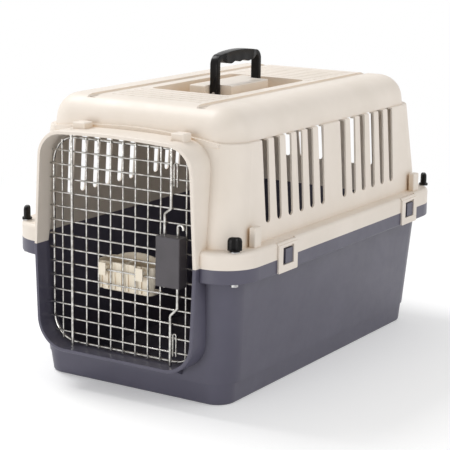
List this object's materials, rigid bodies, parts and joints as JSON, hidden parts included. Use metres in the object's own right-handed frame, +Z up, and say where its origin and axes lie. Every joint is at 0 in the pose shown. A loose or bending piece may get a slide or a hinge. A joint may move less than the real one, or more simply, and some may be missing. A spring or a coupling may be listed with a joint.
{
  "type": "pet carrier",
  "caption": "Two-shell pet carrier with a hinged wire door, spring latch rods, side vents, folding roof handle, thumb nuts, side latches and a hooked-on feeding dish.",
  "frame": {"origin": "Middle of the footprint, on the floor.", "axes": "+Z up, -Y towards the door, +X to the right of someone who faces the door."},
  "size_m": [0.4732, 0.758, 0.549],
  "materials": {
    "beige_shell": "fine moulded grain, warm beige",
    "grey_shell": "fine moulded grain, slate grey",
    "dish_beige": "smooth moulded, beige",
    "latch_grey": "smooth moulded, dark grey",
    "black_plastic": "satin moulded, black",
    "door_wire": "bright plated steel wire",
    "bolt_steel": "zinc plated",
    "spring_steel": "bright drawn wire"
  },
  "bodies": {
    "carrier": {"bottom_shell": "grey_shell", "top_shell": "beige_shell", "corner_bolts": "bolt_steel", "corner_washers": "bolt_steel", "side_latch_pins": "bolt_steel"},
    "door": {"door_frame": "door_wire", "mesh_vertical_wires": "door_wire", "mesh_horizontal_wires": "door_wire", "hinge_rod": "door_wire", "latch_cover": "latch_grey", "latch_spring": "spring_steel", "upper_rod_guide": "door_wire", "lower_rod_guide": "door_wire"},
    "upper_latch": {"upper_latch_rod": "door_wire", "upper_latch_slider": "black_plastic"},
    "lower_latch": {"lower_latch_rod": "door_wire", "lower_latch_slider": "black_plastic"},
    "dish": {"feeding_dish": "dish_beige"},
    "handle": {"carry_handle": "black_plastic", "handle_pins": "bolt_steel"},
    "nut_front_right": {"thumb_nut_front_right": "black_plastic"},
    "nut_front_left": {"thumb_nut_front_left": "black_plastic"},
    "nut_rear_right": {"thumb_nut_rear_right": "black_plastic"},
    "nut_rear_left": {"thumb_nut_rear_left": "black_plastic"},
    "latch_front_right": {"side_latch_front_right": "beige_shell"},
    "latch_front_left": {"side_latch_front_left": "beige_shell"},
    "latch_rear_right": {"side_latch_rear_right": "beige_shell"},
    "latch_rear_left": {"side_latch_rear_left": "beige_shell"}
  },
  "joints": [
    {"name": "door_hinge", "type": "hinge", "parent": "carrier", "child": "door", "pos_m": [-0.1, -0.356, 0.248], "axis": [0, 0, -1], "range_deg": [0, 110]},
    {"name": "upper_latch_slide", "type": "slide", "parent": "door", "child": "upper_latch", "axis": [0, 0, 1], "range_m": [0, 0.01]},
    {"name": "lower_latch_slide", "type": "slide", "parent": "door", "child": "lower_latch", "axis": [0, 0, -1], "range_m": [0, 0.01]},
    {"name": "dish_lift", "type": "slide", "parent": "door", "child": "dish", "axis": [0, 0, 1], "range_m": [0, 0.012]},
    {"name": "handle_fold", "type": "hinge", "parent": "carrier", "child": "handle", "pos_m": [0, -0.004, 0.476], "axis": [0, 1, 0], "range_deg": [0, 90]},
    {"name": "nut_turn_front_right", "type": "hinge", "parent": "carrier", "child": "nut_front_right", "pos_m": [0.21, -0.339, 0.28], "axis": [0, 0, 1], "continuous": true},
    {"name": "nut_turn_front_left", "type": "hinge", "parent": "carrier", "child": "nut_front_left", "pos_m": [-0.21, -0.339, 0.28], "axis": [0, 0, 1], "continuous": true},
    {"name": "nut_turn_rear_right", "type": "hinge", "parent": "carrier", "child": "nut_rear_right", "pos_m": [0.21, 0.357, 0.28], "axis": [0, 0, 1], "continuous": true},
    {"name": "nut_turn_rear_left", "type": "hinge", "parent": "carrier", "child": "nut_rear_left", "pos_m": [-0.21, 0.357, 0.28], "axis": [0, 0, 1], "continuous": true},
    {"name": "side_latch_swing_front_right", "type": "hinge", "parent": "carrier", "child": "latch_front_right", "pos_m": [0.231, -0.213, 0.264], "axis": [0, -1, 0], "range_deg": [0, 90]},
    {"name": "side_latch_swing_front_left", "type": "hinge", "parent": "carrier", "child": "latch_front_left", "pos_m": [-0.231, -0.213, 0.264], "axis": [0, 1, 0], "range_deg": [0, 90]},
    {"name": "side_latch_swing_rear_right", "type": "hinge", "parent": "carrier", "child": "latch_rear_right", "pos_m": [0.231, 0.243, 0.264], "axis": [0, -1, 0], "range_deg": [0, 90]},
    {"name": "side_latch_swing_rear_left", "type": "hinge", "parent": "carrier", "child": "latch_rear_left", "pos_m": [-0.231, 0.243, 0.264], "axis": [0, 1, 0], "range_deg": [0, 90]}
  ],
  "couplings": [
    {"joint": "lower_latch_slide", "follows": "upper_latch_slide", "ratio": 1}
  ]
}
